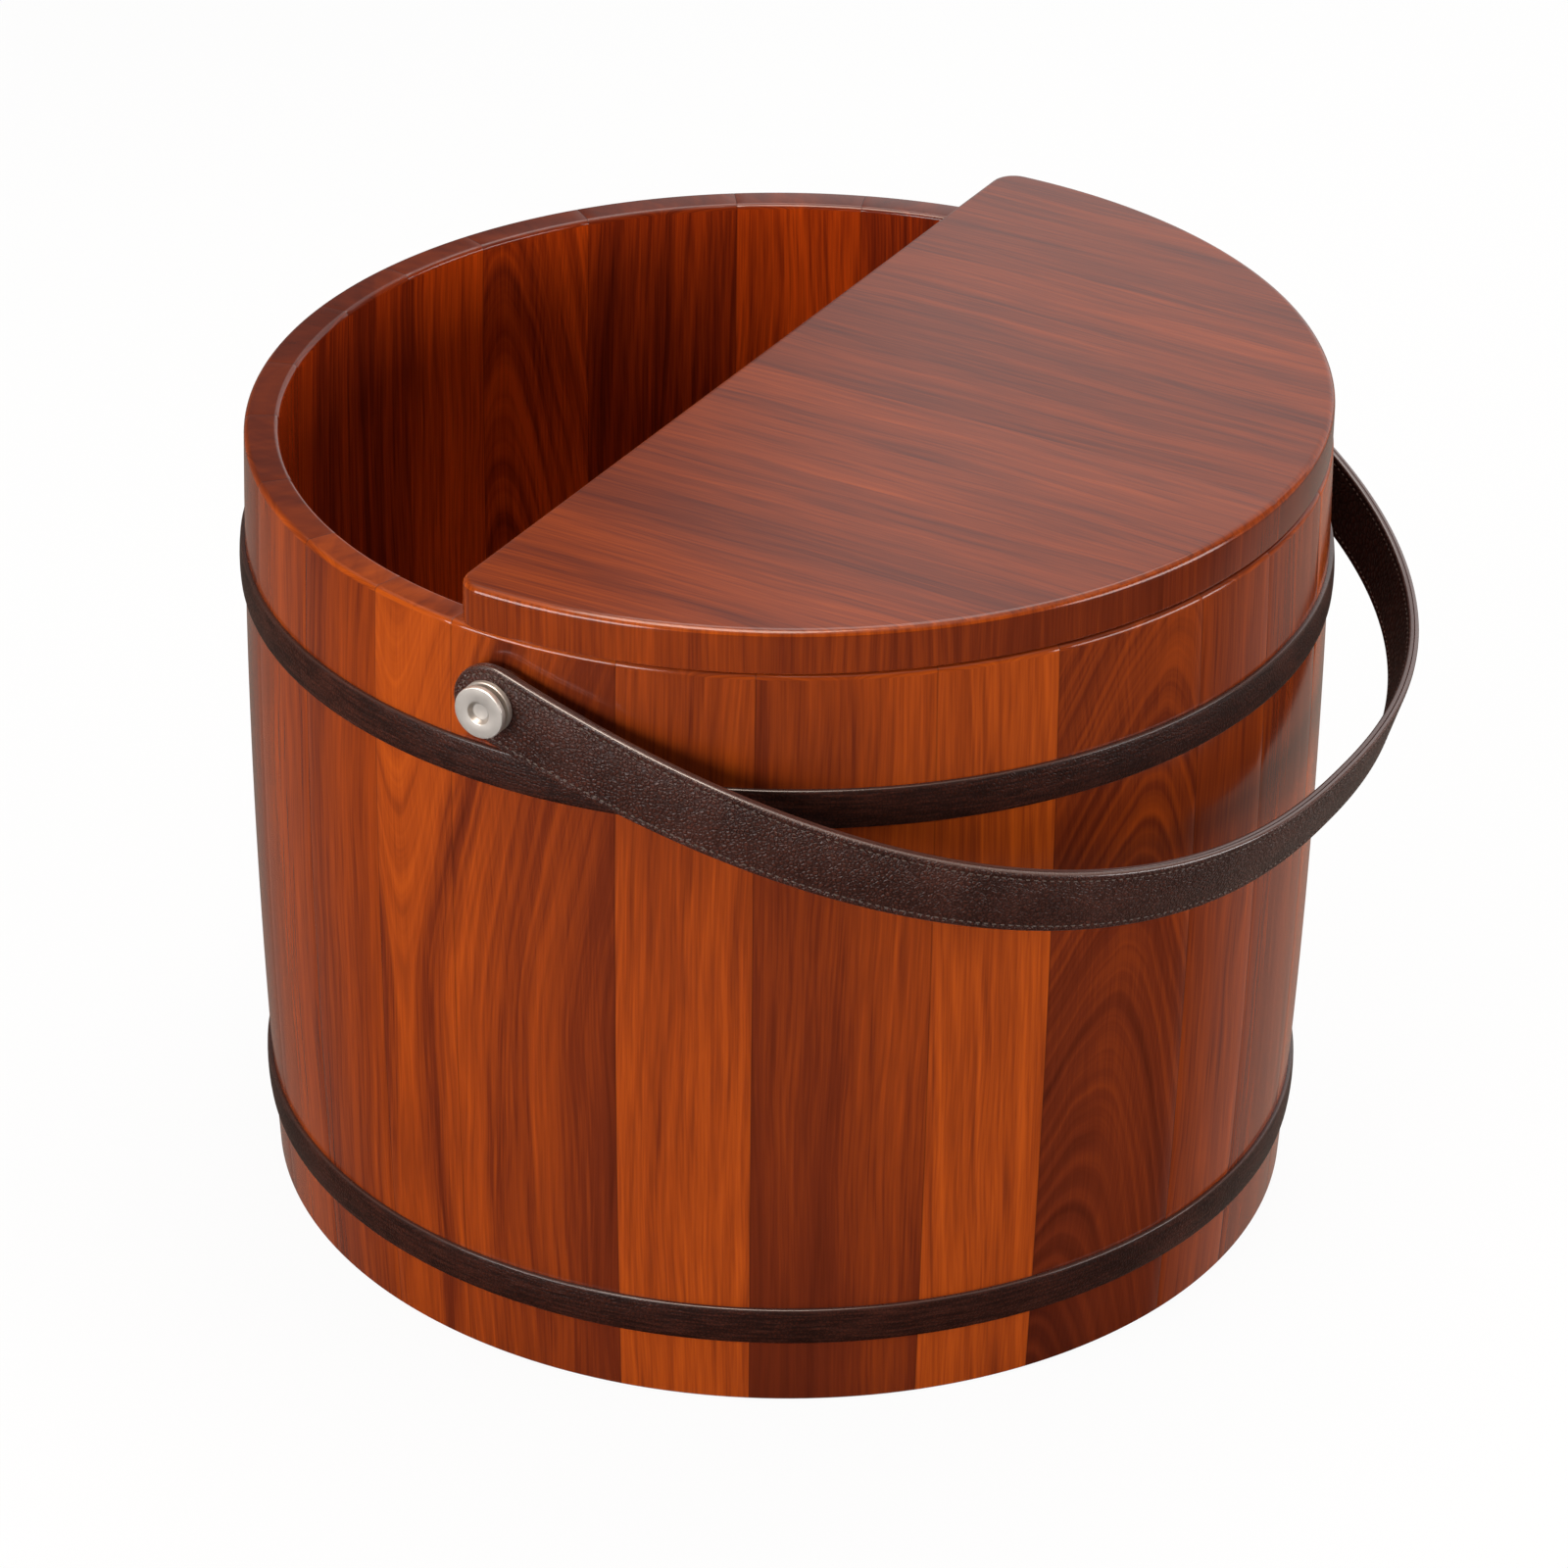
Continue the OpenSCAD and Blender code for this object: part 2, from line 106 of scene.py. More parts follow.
# %% Wrap a socket
class Wire:
    """One socket of a node tree, on which Python's operators add Math nodes."""

    def __init__(self, tree, socket=None):
        self.tree = tree
        self.socket = socket

    def node(self, kind, settings=None, sockets=None, out=0):
        """Adds a node: its settings first, then the values or links of its sockets."""
        made = self.tree.nodes.new("ShaderNode" + kind)
        for name, value in (settings or {}).items():
            if name == "stops":
                ramp = made.color_ramp.elements
                while len(ramp) < len(value):
                    ramp.new(1)
                for stop, (place, colour) in zip(ramp, value):
                    stop.position = place
                    stop.color = (*colour, 1)
            else:
                setattr(made, name, value)
        for name, value in (sockets or {}).items():
            if isinstance(value, Wire):
                self.tree.links.new(value.socket, made.inputs[name])
            else:
                made.inputs[name].default_value = value
        return Wire(self.tree, made.outputs[out] if made.outputs else None)

    def maths(self, operation, *values):
        return self.node("Math", {"operation": operation}, dict(enumerate(values)))

    def __add__(self, other):
        return self.maths("ADD", self, other)

    def __sub__(self, other):
        return self.maths("SUBTRACT", self, other)

    def __rsub__(self, other):
        return self.maths("SUBTRACT", other, self)

    def __mul__(self, other):
        return self.maths("MULTIPLY", self, other)

    __radd__ = __add__
    __rmul__ = __mul__

    def step(self, low, high):
        """0 below low, 1 above high, and an easy slope between."""
        return self.node(
            "MapRange", {"interpolation_type": "SMOOTHSTEP"},
            {"Value": self, "From Min": low, "From Max": high},
        )

    def parts(self):
        """The three numbers of a vector."""
        split = self.node("SeparateXYZ", sockets={0: self}).socket.node
        return [Wire(self.tree, socket) for socket in split.outputs]

    def stretched(self, *scale):
        return self.node("VectorMath", {"operation": "MULTIPLY"}, {0: self, 1: scale})

    def noise(self, scale, detail=2):
        """Noise on this vector, whose scale is given apart for each axis, in features a metre."""
        return self.node(
            "TexNoise", sockets={"Vector": self.stretched(*scale), "Scale": 1, "Detail": detail}
        )

    def tint(self, low, high):
        """A colour between two, chosen by this number."""
        return self.node(
            "Mix", {"data_type": "RGBA"}, {0: self, 6: low, 7: high}, out=2
        )


print("operators ready:", [n for n in vars(Wire) if n.startswith("__")][3:])


# %% Start a finish
def new_finish(name):
    """An empty material, and the wire that adds nodes to it."""
    material = bpy.data.materials.new(name)
    material.use_nodes = True
    material.node_tree.nodes.clear()
    return material, Wire(material.node_tree)


print("finishes so far:", len(bpy.data.materials))

# %% [markdown]
# ## The floor and the light
#
# The tub stands in a white studio. A long soft lamp low on the left lights the staves and leaves
# the inside of the tub dark, a weaker one fills the right, and a small one from above lifts the
# far wall inside. A box overhead is there for reflections alone and draws bright lines along the
# rounded edges. Behind the tub a white card, brighter towards the right, is what the lid's
# lacquer mirrors. In front there is only the unlit room, so the staves that face us keep their
# full colour. The floor shows white to the camera and still takes a shadow.

# %% Light the room
world = bpy.data.worlds.new("studio")
world.use_nodes = True
world.node_tree.nodes.clear()
scene.world = world
w = Wire(world.node_tree)
direction = w.node("TexCoord")
seen = w.node("LightPath", out=0)


def toward(way):
    """How far a direction of the world points along a given way."""
    return direction.node("VectorMath", {"operation": "DOT_PRODUCT"}, {0: direction, 1: way}, out=1)


behind = Vector((-back.x, -back.y, 0)).normalized()
above = Vector((0, 0, 1))
sweep = toward(behind).step(0.02, 0.5) * (toward(level) * 0.14 + 0.26)
sweep = sweep * (1 - toward(above).step(-0.2, 0.3) * 0.5)
ceiling = toward(above).step(0.5, 0.95) * 1.05
glow = sweep + ceiling + 0.012
warm_white = (1.0, 0.86, 0.74, 1)
room = w.node("Background", sockets={"Color": warm_white, "Strength": glow})
backdrop = w.node("Background", sockets={"Color": (1, 1, 1, 1), "Strength": 1.0})
w.node("OutputWorld", sockets={0: w.node("MixShader", sockets={0: seen, 1: room, 2: backdrop})})
print("room light:", len(world.node_tree.nodes), "nodes")

# %% Lay the floor
floor_half, floor_sunk = 3.0, 0.2 * mm
floor_corners = ((-1, -1), (1, -1), (1, 1), (-1, 1))
floor_mesh = bpy.data.meshes.new("floor")
floor_mesh.from_pydata(
    [(x * floor_half, y * floor_half, -floor_sunk) for x, y in floor_corners], [], [(0, 1, 2, 3)]
)
floor = added("floor", floor_mesh)
floor.visible_glossy = False
paper, w = new_finish("white_paper")
shaded = w.node("BsdfDiffuse", sockets={"Color": (0.95, 0.95, 0.95, 1)})
lit = w.node("Emission", sockets={"Strength": 1.0})
lit_share = w.node("LightPath", out=0) * 0.94
paper_shader = w.node("MixShader", sockets={0: lit_share, 1: shaded, 2: lit})
w.node("OutputMaterial", sockets={0: paper_shader})
floor_mesh.materials.append(paper)
print("floor", 2 * floor_half, "m square")


# %% Hang the lamps
def softbox(name, azimuth_deg, elevation_deg, distance, size, watts):
    """A soft rectangular lamp that faces the middle of the tub."""
    lamp = bpy.data.lights.new(name, "AREA")
    lamp.shape = "RECTANGLE"
    lamp.size, lamp.size_y = size
    lamp.energy = watts
    a, e = math.radians(azimuth_deg), math.radians(elevation_deg)
    away = Vector((math.sin(a) * math.cos(e), -math.cos(a) * math.cos(e), math.sin(e)))
    holder = added(name, lamp)
    holder.rotation_mode = "QUATERNION"
    holder.location = look_at + away * distance
    holder.rotation_quaternion = away.to_track_quat("Z", "Y")
    return holder


lamps = [
    softbox("key_lamp", -106, 13, 2.2, (1.6, 0.8), 36),
    softbox("fill_lamp", 14, 13, 2.4, (1.6, 0.8), 27),
    softbox("top_lamp", 100, 68, 2.0, (1.2, 1.2), 11.5),
    softbox("edge_box", -85, 68, 2.0, (1.2, 0.9), 34),
]
lamps[-1].data.color = warm_white[:3]
lamps[-1].visible_diffuse = False
print("lamps in watts:", {lamp.name: lamp.data.energy for lamp in lamps})

# %% Stand the white card
card_away, card_left, card_right, card_low, card_high = 1.3, -0.6, 1.9, 0.15, 1.9
card_corners = (
    (card_left, card_low), (card_right, card_low), (card_right, card_high), (card_left, card_high)
)
card_mesh = bpy.data.meshes.new("white_card")
card_mesh.from_pydata(
    [behind * card_away + level * side + above * z for side, z in card_corners],
    [], [(0, 1, 2, 3)],
)
card = added("white_card", card_mesh)
card.visible_camera = False
card_paint, w = new_finish("card_paint")
place = w.node("TexCoord", out=3)
along_card = w.node("VectorMath", {"operation": "DOT_PRODUCT"}, {0: place, 1: level}, out=1)
card_glow = w.node("Emission", sockets={"Strength": along_card.step(-0.22, 0.10) * 0.76 + 0.15})
w.node("OutputMaterial", sockets={0: card_glow})
card_mesh.materials.append(card_paint)
print("card", card_right - card_left, "m wide")

# %% [markdown]
# ## Making a mesh piece
#
# Most of the tub is made by one idea: a row of rings joined by quads. A stave is a section swept
# through an angle, a hoop is one swept right round, a lid or strap is an outline that shrinks as
# it goes over an edge. Modifiers could do parts of this, but written rings give exact control of
# where the edges fall. Edges sharper than a set angle stay crisp, and all others are shaded
# smooth.

# %% Join rings
def joined(rings, around=True, along=False):
    """The points of the rings in one list, and the quads between neighbouring rings."""
    count = len(rings[0])
    points = [p for ring in rings for p in ring]
    faces = []
    for i in range(len(rings) if along else len(rings) - 1):
        here, there = i * count, (i + 1) % len(rings) * count
        for j in range(count if around else count - 1):
            k = (j + 1) % count
            faces.append((here + j, here + k, there + k, there + j))
    return points, faces


def capped(rings):
    """Closed rings joined in a row, with a flat face over the first and the last."""
    points, faces = joined(rings)
    count = len(rings[0])
    last = len(points) - count
    faces.append(tuple(reversed(range(count))))
    faces.append(tuple(range(last, len(points))))
    return points, faces


def arc(x, z, radius, start_deg, end_deg, steps=8):
    """Points of an arc about (x, z)."""
    turns = [math.radians(start_deg + (end_deg - start_deg) * i / steps) for i in range(steps + 1)]
    return [(x + radius * math.cos(t), z + radius * math.sin(t)) for t in turns]


def full_turn(steps):
    """The angles of a whole turn, in equal steps."""
    return [2 * math.pi * i / steps for i in range(steps)]


print("a quarter arc has", len(arc(0, 0, 1, 0, 90)), "points")


# %% Make a piece
crisp_angle = 38


def outward_mesh(name, points, faces):
    """A mesh whose faces all point outwards."""
    mesh = bpy.data.meshes.new(name)
    mesh.from_pydata(points, [], faces)
    form = bmesh.new()
    form.from_mesh(mesh)
    bmesh.ops.recalc_face_normals(form, faces=form.faces)
    form.to_mesh(mesh)
    form.free()
    return mesh


def piece(name, points, faces, body, finish, slot, stands_for=(), crisp_deg=crisp_angle):
    """A mesh object that rides on a body, with outward faces and crisp edges."""
    mesh = outward_mesh(name, points, faces)
    mesh.shade_smooth()
    mesh.set_sharp_from_angle(angle=math.radians(crisp_deg))
    mesh.materials.append(finish)
    made = added(name, mesh)
    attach(made, body)
    if stands_for:
        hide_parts(*stands_for)
    return made


print("edges turn crisp from", crisp_angle, "degrees")


# %% Drill a piece
def drilled(made, cutter_points, cutter_faces, crisp_deg=crisp_angle):
    """Takes a cutter out of a piece with an exact Boolean, and keeps only the result."""
    mesh = outward_mesh("cutter", cutter_points, cutter_faces)
    cutter = added("cutter", mesh)
    cut = made.modifiers.new("cut", "BOOLEAN")
    cut.object = cutter
    cut.solver = "EXACT"
    result = bpy.data.meshes.new_from_object(
        made.evaluated_get(bpy.context.evaluated_depsgraph_get())
    )
    made.modifiers.clear()
    made.data = result
    bpy.data.objects.remove(cutter)
    result.set_sharp_from_angle(angle=math.radians(crisp_deg))
    return made


print("helpers ready for", len(nodes), "solids")

# %% [markdown]
# ## Lacquered wood
#
# The wood is a red-brown hardwood under a clear gloss lacquer. An image would repeat and would
# not follow the boards, so the figure is worked out in each board's own directions, which the
# meshes carry as an attribute: across the board, into it, and along the grain. Growth rings are
# distances from a tree's heart that drifts past the board, which gives straight lines on most
# boards and arches where the board was cut near the heart. Bands, streaks and fibres are noise
# along those same layers, so they bend with the rings, and fine strands run along the board
# itself. Where the rings bend away from a height, a pale core shows inside a dark vein. The
# lacquer is the shader's coat, smooth over the grain, and the inside of the wall takes a redder,
# warmer tone.

# %% Grow the figure
ring_spacing, bend_length = 5.5 * mm, 40 * mm
heart_depth, heart_narrowing = 14 * mm, 35 * mm


def grown_figure(w, grain, seed, figure, heart, rise, saddle):
    """Four tones of the wood: all its fine lines, its rings and core, its fibres, its strands."""
    across, depth, along = grain.parts()

    def in_tree(first, share):
        """The place of a point in its own tree, so that no two boards match."""
        shifted = {0: first + seed * share, 1: depth, 2: along + seed * 2.71}
        return w.node("CombineXYZ", sockets=shifted)

    sway = in_tree(across, 1.37).noise((14, 14, 5), 2) - 0.5
    across = across + sway * (figure * 0.14 + 0.005)
    own = in_tree(across, 1.37)

    side = across - heart
    bend = w.maths("SQRT", along * along + bend_length ** 2) - bend_length
    blunt = heart_depth - saddle * heart_narrowing
    layers = w.maths("SQRT", side * side + blunt * blunt) + along * rise - bend * saddle
    layers = layers + (own.noise((40, 40, 7), 2) - 0.5) * 0.007 + depth
    ring = w.maths("FRACT", layers * (1 / ring_spacing))
    late = ring.step(0.06, 0.40) - ring.step(0.70, 1.0)
    late = late * own.noise((25, 25, 5), 2).step(0.3, 0.6)

    grown = in_tree(layers, 0.73)
    bands = grown.noise((50, 20, 2.0), 2) - 0.5
    streaks = grown.noise((230, 60, 9), 1) - 0.5
    core = 1 - layers.step(6 * mm, 16 * mm)
    vein = layers.step(12 * mm, 18 * mm) - layers.step(18 * mm, 26 * mm)
    fibres = grown.noise((620, 200, 15), 3) - 0.5
    strands = own.noise((1150, 300, 34), 2) - 0.5
    lines = bands * 0.80 + streaks * 0.45 + fibres * 0.60 + strands * 0.52
    marks = (core * 1.1 - vein * 1.5) * saddle - (late - 0.5) * figure
    return lines, marks, fibres, strands


print("rings", ring_spacing / mm, "mm apart")

# %% Mix the wood finish
wood_stops = [
    (0.0, (0.060, 0.0088, 0.0036)),
    (0.3, (0.138, 0.0202, 0.0055)),
    (0.6, (0.268, 0.0415, 0.0056)),
    (1.0, (0.450, 0.0760, 0.0064)),
]
inside_red, seam_dark = (1.58, 1.05, 0.85, 1), (0.03, 0.006, 0.003, 1)
seam_width = 0.45 * mm


def wood_finish(name, axes=None, tone=0.4, seed=1.0, coat=1.0):
    """Lacquered wood, on the boards' own attributes or, for a plain solid, on the given axes."""
    material, w = new_finish(name)
    if axes is None:
        grain = w.node("Attribute", {"attribute_name": "grain"}, out=1)
        tone, figure, seed = w.node("Attribute", {"attribute_name": "board"}, out=1).parts()
        heart, rise, saddle = w.node("Attribute", {"attribute_name": "heart"}, out=1).parts()
        joint = w.node("Attribute", {"attribute_name": "joint"}, out=2)
        inside = w.node("Attribute", {"attribute_name": "inside"}, out=2)
    else:
        place = w.node("TexCoord", out=3).parts()
        grain = w.node("CombineXYZ", sockets={i: place[axis] for i, axis in enumerate(axes)})
        figure, heart, rise, saddle, joint, inside = 0.06, 0.15, 0.02, 0.0, None, 0.0
    lines, marks, fibres, strands = grown_figure(w, grain, seed, figure, heart, rise, saddle)
    shade = tone + lines * (tone * 1.5 + inside * 0.45 + 0.12) + marks
    colour = w.node("ValToRGB", {"stops": wood_stops}, {0: shade})
    colour = w.node(
        "Mix", {"data_type": "RGBA", "blend_type": "MULTIPLY"},
        {0: inside, 6: colour, 7: inside_red}, out=2,
    )
    if joint is not None:
        seam = 1 - joint.step(0.0, seam_width)
        colour = (seam * 0.45).tint(colour, seam_dark)
    rough = 0.42 + fibres * 0.12
    bump = w.node("Bump", sockets={"Height": strands, "Strength": 0.04, "Distance": 0.2 * mm})
    shader = w.node("BsdfPrincipled", sockets={
        "Base Color": colour, "Roughness": rough, "Normal": bump,
        "Specular IOR Level": 0.0, "Coat Weight": coat, "Coat Roughness": 0.15, "Coat IOR": 1.45,
    })
    w.node("OutputMaterial", sockets={0: shader})
    return material


stave_wood = wood_finish("stave_wood")
batten_wood = wood_finish("batten_wood", axes=(1, 2, 0), tone=0.25, seed=5.0)
dowel_wood = wood_finish("dowel_wood", axes=(0, 1, 2), tone=0.9, seed=7.0, coat=0.0)
print("wood finishes:", [m.name for m in (stave_wood, batten_wood, dowel_wood)])


# %% Mark the grain on a mesh
def grain_marks(mesh, rows, domain="POINT"):
    """Writes the wood attributes: rows of (grain, board, heart, joint distance, share inside)."""
    for index, name in enumerate(("grain", "board", "heart")):
        layer = mesh.attributes.new(name, "FLOAT_VECTOR", domain)
        layer.data.foreach_set("vector", [c for row in rows for c in row[index]])
    for index, name in ((3, "joint"), (4, "inside")):
        layer = mesh.attributes.new(name, "FLOAT", domain)
        layer.data.foreach_set("value", [row[index] for row in rows])


print("grain marks ready for the boards")

# %% [markdown]
# ## The staves
#
# A cooper planes each stave to a wedge, hollows it inside and rounds it outside, so that the ring
# of staves closes with no filler. Each one here is the wall's half section swept through that
# stave's own angle, which is measured on its solid. The long edges are eased by a hair, as
# sanding does, and the two staves that carry the strap get the flat seat and the blind hole for
# the stud.

# %% Measure the wall
tub_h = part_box("stave_01")[1].z
rim_r, foot_r, bulge, wall = 200 * mm, 194.8 * mm, 3.3 * mm, 13 * mm
rim_round, foot_chamfer = 2.2 * mm, 1 * mm
bottom_low, bottom_high = (corner.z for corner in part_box("bottom_board_3"))
groove_low = bottom_low + (bottom_high - bottom_low) / 4
groove_high = bottom_high - (bottom_high - bottom_low) / 4
groove_depth = 5 * mm
section_steps = 24


def outer_r(z):
    t = z / tub_h
    return foot_r + (rim_r - foot_r) * t + bulge * 4 * t * (1 - t)


def inner_r(z):
    return outer_r(z) - wall


def wall_section(ease=0.0):
    """The wall's half section as (r, z); ease draws the outside and the rim in by a hair."""
    top = tub_h - rim_round
    rise = top - foot_chamfer
    heights = [foot_chamfer + rise * i / section_steps for i in range(section_steps + 1)]
    foot = [(inner_r(0), foot_chamfer), (inner_r(0) + foot_chamfer, 0)]
    foot.append((outer_r(0) - foot_chamfer, 0))
    outside = [(outer_r(z) - ease, z) for z in heights[:-1]]
    rim = arc(outer_r(top) - rim_round, top, rim_round, 0, 90)
    rim += arc(inner_r(top) + rim_round, top, rim_round, 90, 180)
    rim = [(r - ease if r > rim_r - wall / 2 else r + ease, z - ease) for r, z in rim]
    groove_r = inner_r((groove_low + groove_high) / 2) + groove_depth
    groove = [(inner_r(groove_high), groove_high), (groove_r, groove_high)]
    groove += [(groove_r, groove_low), (inner_r(groove_low), groove_low)]
    inside = [(inner_r(z) + ease, z) for z in reversed(heights[:-1]) if z > groove_high]
    return foot + outside + rim + inside + groove


def angle_span(node):
    """The angles between which a solid stands round the tub's axis."""
    angles = [math.atan2(v.co.y, v.co.x) for v in nodes[node].data.vertices]
    first = angles[0]
    turns = [(a - first + math.pi) % (2 * math.pi) - math.pi for a in angles]
    return first + min(turns), first + max(turns)


print("wall", round(tub_h / mm, 1), "mm high,", len(wall_section()), "points in its section")

# %% Measure the pivots' seats
seat_gap, hole_gap, hole_spare = 0.15 * mm, 0.05 * mm, 1 * mm
pivot = Vector((0, 0, (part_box("left_stud")[0].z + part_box("left_stud")[1].z) / 2))
seat_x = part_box("right_spacer")[0].x
seat_r = (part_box("right_spacer")[1].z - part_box("right_spacer")[0].z) / 2 + seat_gap
hole_r = (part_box("right_insert")[1].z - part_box("right_insert")[0].z) / 2 + hole_gap
hole_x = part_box("right_insert")[0].x - hole_spare
print("pivot", round(pivot.z / mm, 1), "mm up, seats", round(2 * seat_r / mm, 1), "mm across")

# %% Choose the staves' looks
rim_tone, inside_tone, end_grain, rim_arris_highlight = 0.32, 0.10, 0.2, 0.25
# Rim tones by stave; the pale ones at the front left, 23, 24 and 1, are partly painted sheen.
rim_tones = {19: 0.26, 20: 0.24, 21: 0.28, 22: 0.32, 23: 0.66, 24: 0.76, 1: 0.78}
# Tone from 0, dark, to 1, light, at a stave's two edges, how much lighter it gets from foot to
# rim, and how strongly its rings show.
stave_looks = {
    1: (0.60, 0.29, 0.0, 0.08), 2: (0.63, 0.63, -0.15, 0.04), 3: (0.28, 0.51, 0.30, 0.05),
    4: (0.70, 0.76, 0.0, 0.04), 5: (0.27, 0.36, 0.30, 0.13), 6: (0.43, 0.43, 0.0, 0.05),
    7: (0.43, 0.43, 0.0, 0.05), 8: (0.64, 0.64, 0.0, 0.04), 13: (0.32, 0.32, 0.0, 0.06),
    14: (0.60, 0.56, 0.0, 0.06), 15: (0.36, 0.27, 0.0, 0.05), 16: (0.64, 0.42, 0.0, 0.10),
    17: (0.54, 0.50, 0.0, 0.06), 18: (0.30, 0.36, 0.0, 0.06), 19: (0.30, 0.28, 0.0, 0.06),
    20: (0.30, 0.34, 0.0, 0.06), 21: (0.34, 0.36, 0.0, 0.06), 22: (0.52, 0.52, 0.0, 0.06),
    23: (0.39, 0.48, 0.0, 0.08), 24: (0.56, 0.58, 0.0, 0.08),
}

# Where the tree's heart ran behind a stave: off its middle, how far it leans, how fast the rings
# rise, how they bend away, the height they bend about, and a seed that two staves cut from one
# plank share. Elsewhere the heart was far off, and the grain runs straight.
stave_hearts = {
    24: (-8.5 * mm, 0.0, -0.13, 0.17, 171 * mm, 4.0),
    1: (-59 * mm, 0.0, -0.13, 0.17, 171 * mm, 4.0),
    5: (-32 * mm, 0.173, 0.40, 0.0, 0.0, 9.0),
    11: (-10 * mm, 0.05, -0.22, 0.0, 0.0, 13.0),
    16: (15 * mm, 0.0, 0.2, 0.0, 0.0, 23.0),
    20: (4 * mm, 0.0, 0.0, 0.24, 120 * mm, 21.0),
}
print("looks chosen for", len(stave_looks), "staves")


# %% Sweep and drill
def ring_at(section, angle):
    """The section, turned about the tub's axis."""
    return [(r * math.cos(angle), r * math.sin(angle), z) for r, z in section]


def turned_cutter(steps, side):
    """A stepped cylinder along X through the pivot, from (x, radius) steps, on one side."""
    turns = full_turn(64)
    return capped([
        [(side * x, r * math.cos(t), pivot.z + r * math.sin(t)) for t in turns] for x, r in steps
    ])


print("drill", round(2 * hole_r / mm, 1), "mm across")

# %% Build the staves
edge_ease, edge_width, stave_steps = 0.05 * mm, 0.35 * mm, 12
stave_count, cutter_reach = 24, 5 * mm
rng = random.Random(11)
full, eased = wall_section(), wall_section(edge_ease)
for number in range(1, stave_count + 1):
    node = f"stave_{number:02d}"
    start, end = angle_span(node)
    inset = edge_width / rim_r
    width = end - start - 2 * inset
    between = [start + inset + width * i / stave_steps for i in range(stave_steps + 1)]
    rings = [ring_at(eased, start)] + [ring_at(full, a) for a in between] + [ring_at(eased, end)]
    made = piece(f"wall_{node}", *capped(rings), "tub", stave_wood, "stave_wood", [node])
    middle, half = (start + end) / 2, (end - start) / 2
    for side, facing in ((-1, math.pi), (1, 0.0)):
        if abs((facing - middle + math.pi) % (2 * math.pi) - math.pi) < half:
            steps = [(hole_x, hole_r), (seat_x, hole_r)]
            steps += [(seat_x, seat_r), (seat_x + cutter_reach, seat_r)]
            drilled(made, *turned_cutter(steps, side))
    plain = rng.uniform(0.36, 0.6)
    plain_look = (plain, plain, 0.0, rng.choice((0.04, 0.06, 0.10)))
    first_tone, last_tone, paler, figure = stave_looks.get(number, plain_look)
    far_off = rng.choice((-1, 1)) * rng.uniform(90, 160) * mm
    straight = (far_off, 0.0, rng.uniform(-0.05, 0.05), 0.0, 0.0, rng.uniform(0, 30))
    heart, lean, rise, saddle, bend_z, seed = stave_hearts.get(number, straight)
    rows = []
    for v in made.data.vertices:
        turn = (math.atan2(v.co.y, v.co.x) - middle + math.pi) % (2 * math.pi) - math.pi
        r = math.hypot(v.co.x, v.co.y)
        top_share = min(max((v.co.z - tub_h + rim_round) / rim_round, 0.0), 1.0)
        across = turn * rim_r * (1 - (1 - end_grain) * top_share)
        grain = (across, (r - outer_r(v.co.z)) * end_grain, v.co.z - bend_z)
        tone = first_tone + (last_tone - first_tone) * (turn / half + 1) / 2
        tone += paler * (v.co.z / tub_h - 0.5)
        inside = (1.0 - top_share) if r < outer_r(v.co.z) - wall / 2 else 0.0
        tone += inside_tone * inside
        shown = tone * (1 - top_share) + rim_tones.get(number, rim_tone) * top_share
        # A painted highlight: the rim's outer arris is made paler, most at the middle of its round.
        if r > rim_r - wall / 2:
            shown += rim_arris_highlight * 4 * top_share * (1 - top_share)
        heart_here = (heart + lean * v.co.z, rise, saddle * (1 - top_share - inside))
        rows.append((grain, (shown, figure, seed), heart_here, (half - abs(turn)) * rim_r, inside))
    grain_marks(made.data, rows)
print(stave_count, "staves,", len(made.data.vertices), "points in the last")

# %% [markdown]
# ## The lid
#
# The half lid is glued up from boards that run from its straight edge to its round one. Its rim
# is the same outline drawn again and again, a little smaller and higher each time, so that the
# rounding turns smoothly through the corners. That plate is then sawn into its boards with
# bisecting planes. The edge of the plate gets its own grain directions, because the eye sees end
# grain there.

# %% Draw the lid's outline
lid_names = [f"lid_board_{i}" for i in range(1, 7)]
lid_low, lid_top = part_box("lid_board_3")[0].z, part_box("lid_board_3")[1].z
lid_edge_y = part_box("lid_board_3")[1].y
lid_r = (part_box("lid_board_6")[1].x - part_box("lid_board_1")[0].x) / 2
lid_centre_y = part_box("lid_board_3")[0].y + lid_r
lid_corner_r, lid_round, lid_under_round = 10 * mm, 3 * mm, 1.5 * mm
corner_y = lid_edge_y - lid_corner_r
corner_x = math.sqrt((lid_r - lid_corner_r) ** 2 - (corner_y - lid_centre_y) ** 2)
corner_tip = math.degrees(math.atan2(corner_y - lid_centre_y, corner_x))


def lid_outline(inset, z):
    """The half disc with two rounded corners, drawn inside the lid's edge by the inset."""
    plan = arc(corner_x, corner_y, lid_corner_r - inset, corner_tip, 90, 10)
    plan += arc(-corner_x, corner_y, lid_corner_r - inset, 90, 180 - corner_tip, 10)
    plan += arc(0, lid_centre_y, lid_r - inset, 180 - corner_tip, 360 + corner_tip, 150)[1:-1]
    return [(x, y, z) for x, y in plan]


def lid_rings():
    under = arc(-lid_under_round, lid_low + lid_under_round, lid_under_round, -90, 0, 5)
    over = arc(-lid_round, lid_top - lid_round, lid_round, 0, 90, 10)
    return [lid_outline(-x, z) for x, z in under + over]


print("lid radius", round(lid_r / mm, 1), "mm, its centre at y", round(lid_centre_y / mm, 1), "mm")


